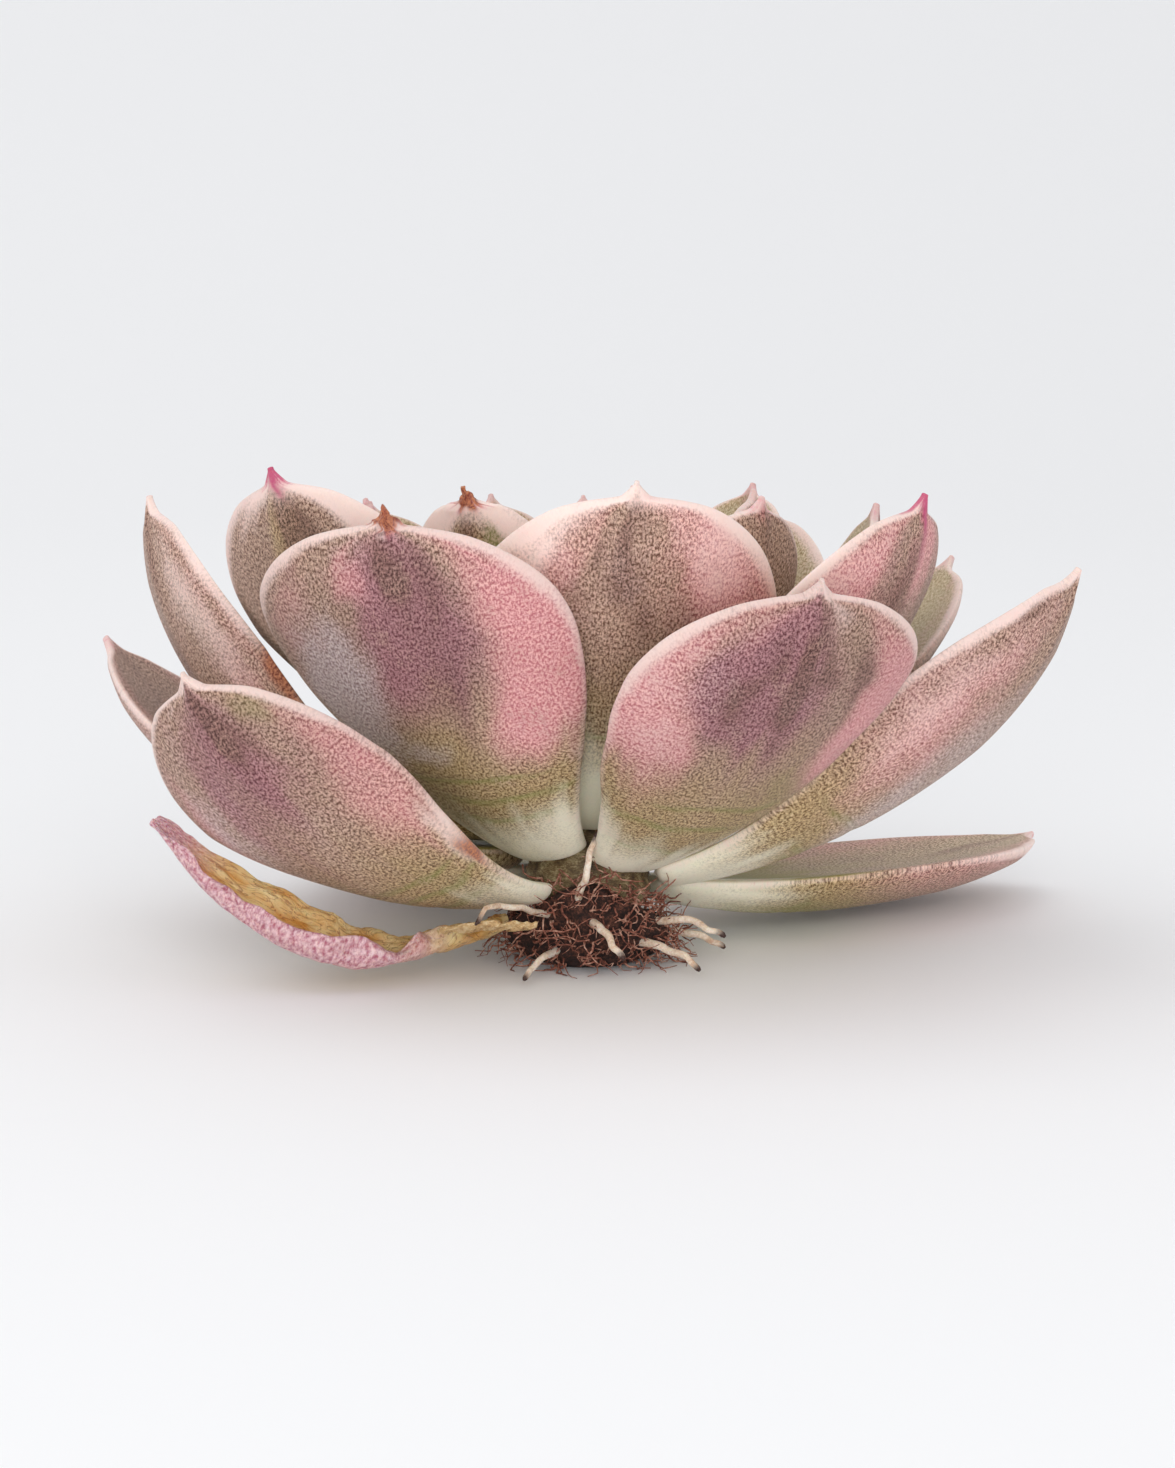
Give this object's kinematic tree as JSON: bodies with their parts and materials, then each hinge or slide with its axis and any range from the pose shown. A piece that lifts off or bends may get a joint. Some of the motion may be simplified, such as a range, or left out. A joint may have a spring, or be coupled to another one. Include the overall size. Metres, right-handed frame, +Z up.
{
  "type": "bare-root succulent rosette",
  "caption": "Echeveria-like rosette of fleshy pointed leaves on a short stem, lifted bare-root with its root clump and one withered leaf.",
  "frame": {"origin": "middle of the underside of the plant's bounding box, on the surface that the plant stands on", "axes": "+X to the plant's right as seen from its front, along its longest extent; -Y to the front; +Z up, along its shortest extent"},
  "size_m": [0.0862, 0.0708, 0.0446],
  "materials": {
    "leaf": "waxy, powdery bloom",
    "stem": "matte, fleshy",
    "withered": "dry, papery",
    "husk": "dry, papery",
    "soil": "crumbly soil and root fibre",
    "root": "dry, woody"
  },
  "bodies": {
    "root": {"stem": "stem", "front_leaf_left": "leaf", "front_leaf_middle": "leaf", "front_leaf_right": "leaf", "heart_leaf_28": "leaf", "heart_leaf_29": "leaf", "heart_leaf_30": "leaf", "heart_leaf_31": "leaf", "heart_leaf_32": "leaf", "heart_leaf_33": "leaf", "inner_leaf_20": "leaf", "inner_leaf_21": "leaf", "inner_leaf_22": "leaf", "inner_leaf_24": "leaf", "inner_leaf_25": "leaf", "inner_leaf_26": "leaf", "inner_leaf_27": "leaf", "inner_leaf_front": "leaf", "inner_leaf_left": "leaf", "low_leaf_back": "leaf", "low_leaf_right": "leaf", "middle_leaf_14": "leaf", "middle_leaf_16": "leaf", "middle_leaf_19": "leaf", "middle_leaf_right": "leaf", "outer_leaf_06": "leaf", "outer_leaf_09": "leaf", "outer_leaf_11": "leaf", "outer_leaf_far_left": "leaf", "outer_leaf_front_left": "leaf", "outer_leaf_front_right": "leaf", "outer_leaf_right": "leaf", "side_leaf_left": "leaf", "withered_leaf": "withered", "husk": "husk", "root_clump": "soil", "root_back": "root", "root_front": "root", "root_left_high": "root", "root_left_low": "root", "root_right_back": "root", "root_right_high": "root", "root_right_low": "root", "root_upright": "root"}
  },
  "joints": []
}
